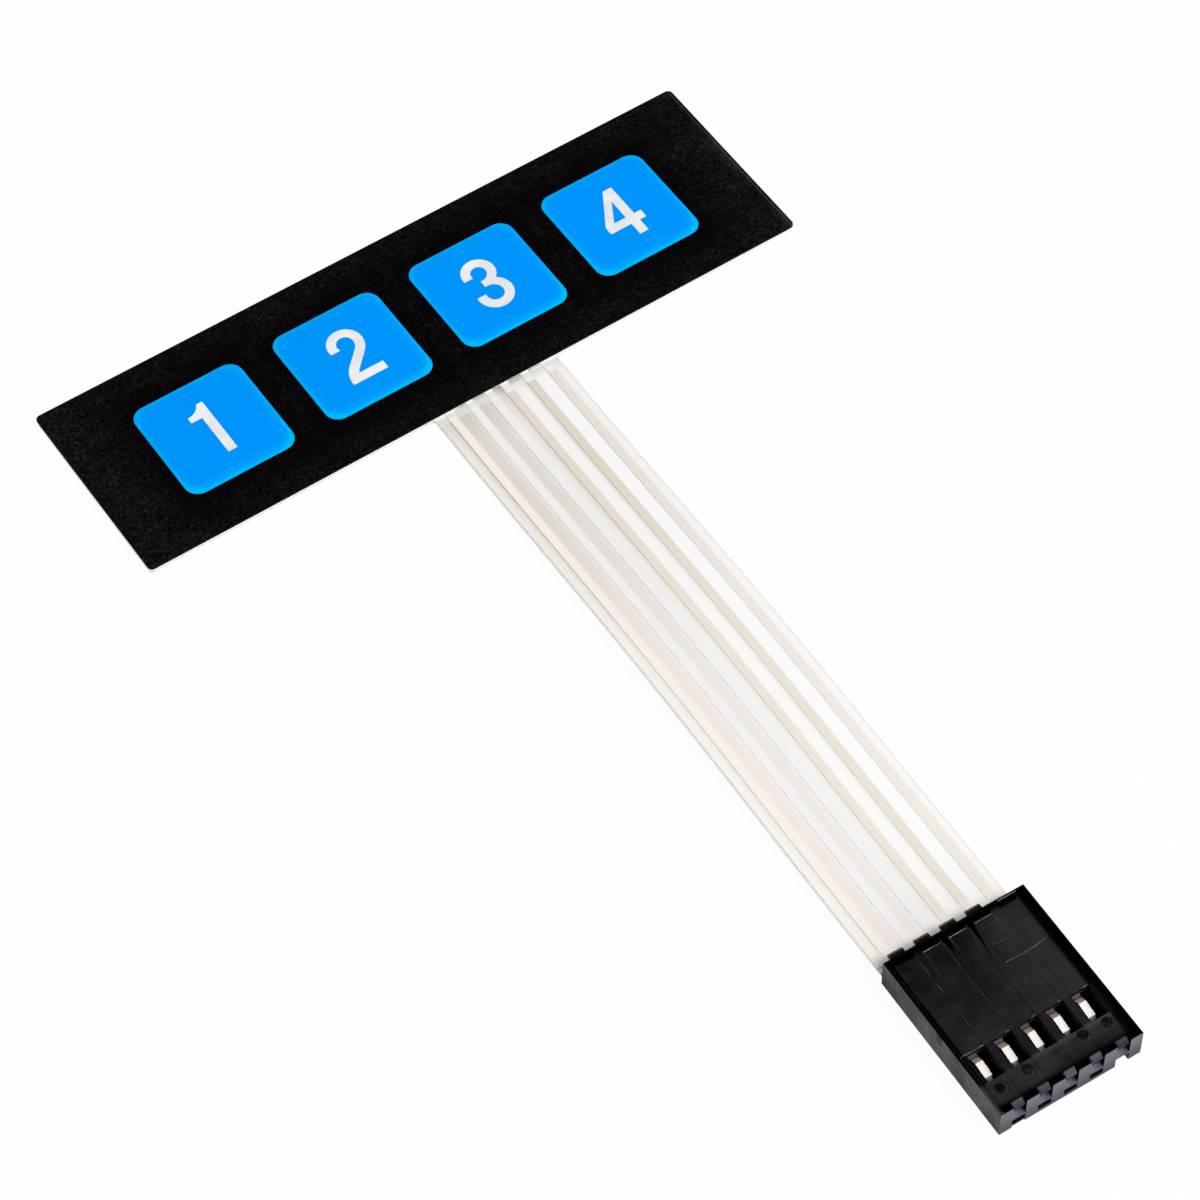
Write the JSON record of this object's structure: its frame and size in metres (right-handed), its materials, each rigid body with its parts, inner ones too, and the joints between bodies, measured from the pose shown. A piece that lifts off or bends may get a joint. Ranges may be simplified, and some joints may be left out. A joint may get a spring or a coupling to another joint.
{
  "type": "membrane matrix keypad",
  "caption": "Flat rectangular membrane keypad with a row of embossed numbered keys, a printed ribbon tail and a black crimped socket connector; it sticks to a panel by its back.",
  "frame": {"origin": "centre of the key panel on its rear face, the released side of the mounting adhesive's liner", "axes": "+X along the row of keys from the first to the last, +Y across the panel away from the tail, +Z out of the printed face"},
  "size_m": [0.0692, 0.1068, 0.0032],
  "materials": {
    "face_film": "satin black polyester film with a fine tooth",
    "blue_ink": "screen-printed blue ink, satin",
    "white_ink": "screen-printed white ink, satin",
    "glue": "clear acrylic adhesive sheet",
    "switch_film": "milky polyester film",
    "carbon": "matt carbon ink",
    "circuit_film": "milky polyester film",
    "silver_ink": "printed silver conductor under film, cream",
    "cover_film": "pearly white polyester film",
    "liner": "smooth white release paper",
    "housing": "moulded black nylon, satin",
    "contact_metal": "tin-plated bronze, semi-bright"
  },
  "bodies": {
    "root": {"graphic_overlay": "face_film", "key_field_1": "blue_ink", "key_field_2": "blue_ink", "key_field_3": "blue_ink", "key_field_4": "blue_ink", "numeral_1": "white_ink", "numeral_2": "white_ink", "numeral_3": "white_ink", "numeral_4": "white_ink", "overlay_adhesive": "glue", "upper_contact_film": "switch_film", "shorting_pad_1": "carbon", "shorting_pad_2": "carbon", "shorting_pad_3": "carbon", "shorting_pad_4": "carbon", "contact_spacer": "switch_film", "lower_circuit_film": "circuit_film", "conductor_1": "silver_ink", "conductor_2": "silver_ink", "conductor_3": "silver_ink", "conductor_4": "silver_ink", "conductor_5": "silver_ink", "blank_strip": "silver_ink", "tail_cover_film": "cover_film", "rear_adhesive": "glue", "release_liner": "liner", "connector_housing": "housing", "contact_1": "contact_metal", "contact_2": "contact_metal", "contact_3": "contact_metal", "contact_4": "contact_metal", "contact_5": "contact_metal"}
  },
  "joints": []
}
